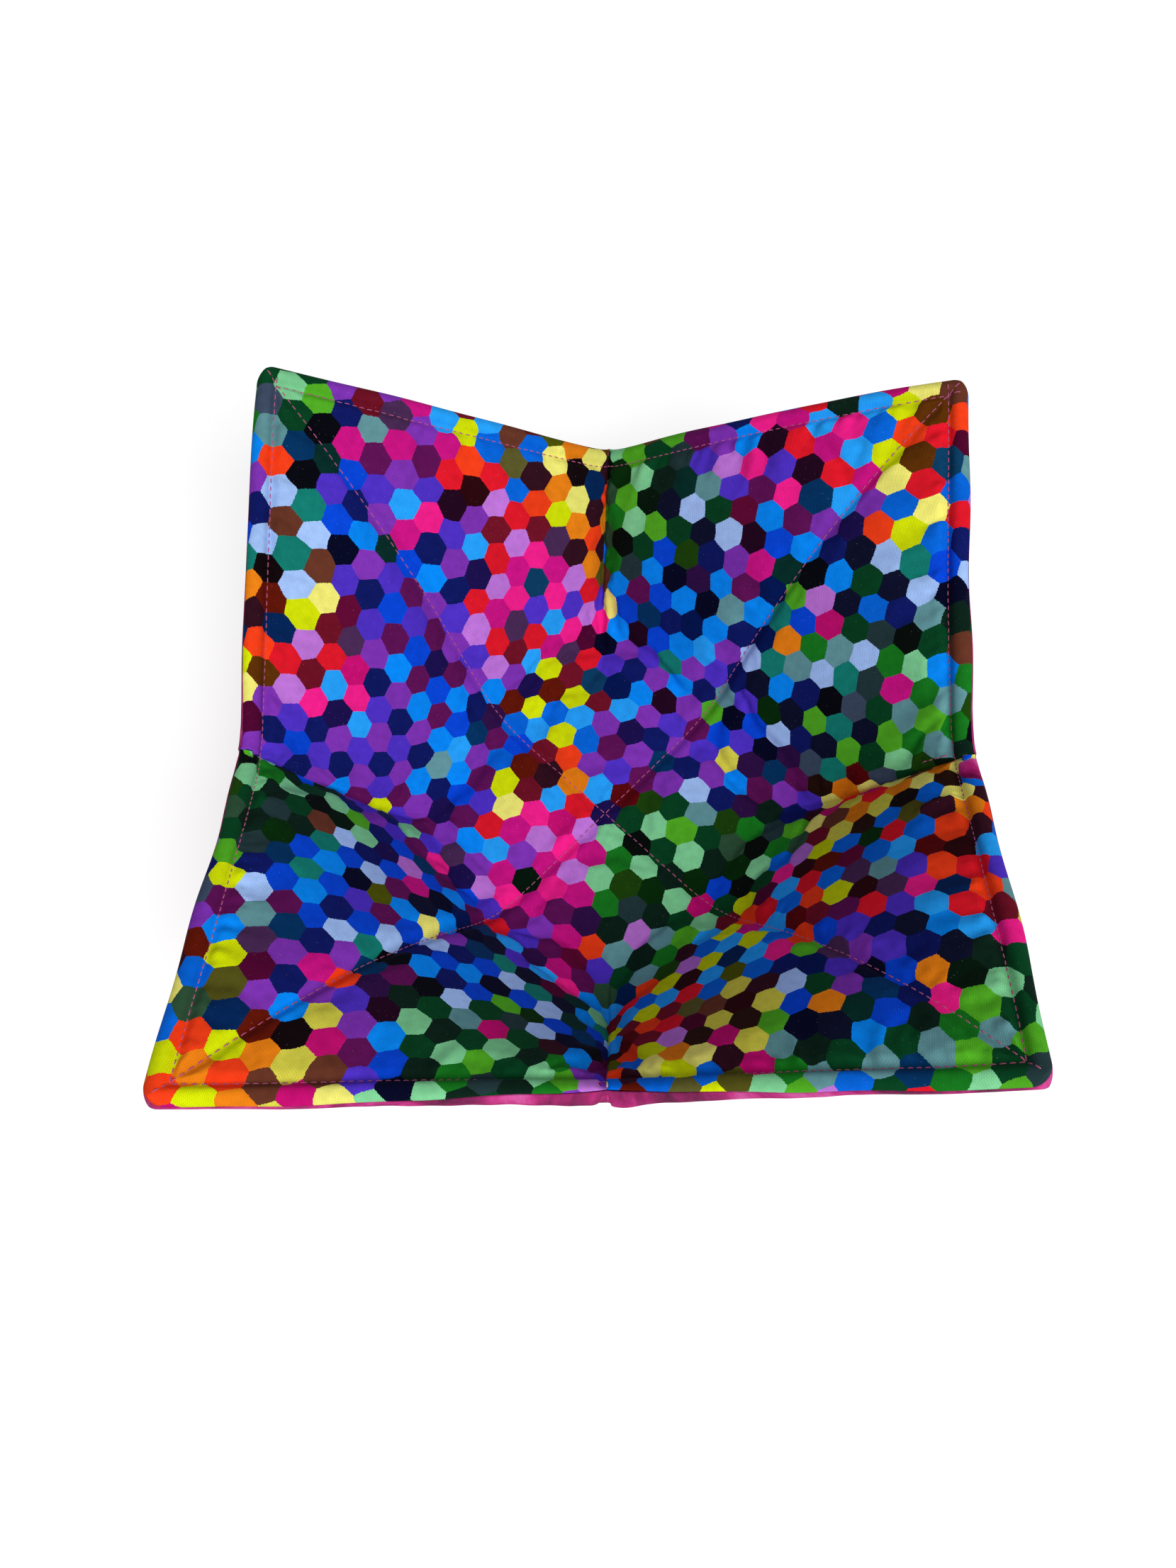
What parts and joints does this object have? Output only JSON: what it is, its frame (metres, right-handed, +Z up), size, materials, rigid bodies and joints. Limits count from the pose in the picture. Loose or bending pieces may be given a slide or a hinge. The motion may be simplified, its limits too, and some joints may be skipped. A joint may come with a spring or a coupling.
{
  "type": "quilted cloth bowl holder",
  "caption": "Padded cotton holder for a hot microwaved bowl: a square quilted cloth whose darts lift it into a shallow cup with raised corner flaps to grip.",
  "frame": {"origin": "centre of the flat underside, where the holder rests on the table", "axes": "+Z up out of the bowl hollow; X and Y through the darts, with the camera's side at -Y"},
  "size_m": [0.2028, 0.2123, 0.0926],
  "materials": {
    "print_cotton": "matte twill with a printed hexagon mosaic",
    "plum_cotton": "matte, marbled dye",
    "cotton_batting": "matte, loose fibre",
    "pink_thread": "satin twisted cotton"
  },
  "bodies": {
    "root": {"inner_panel": "print_cotton", "inner_batting": "cotton_batting", "outer_batting": "cotton_batting", "outer_panel": "plum_cotton", "topstitch_needle_thread": "pink_thread", "topstitch_bobbin_thread": "pink_thread", "quilting_thread_rising": "pink_thread", "quilting_thread_falling": "pink_thread"}
  },
  "joints": []
}
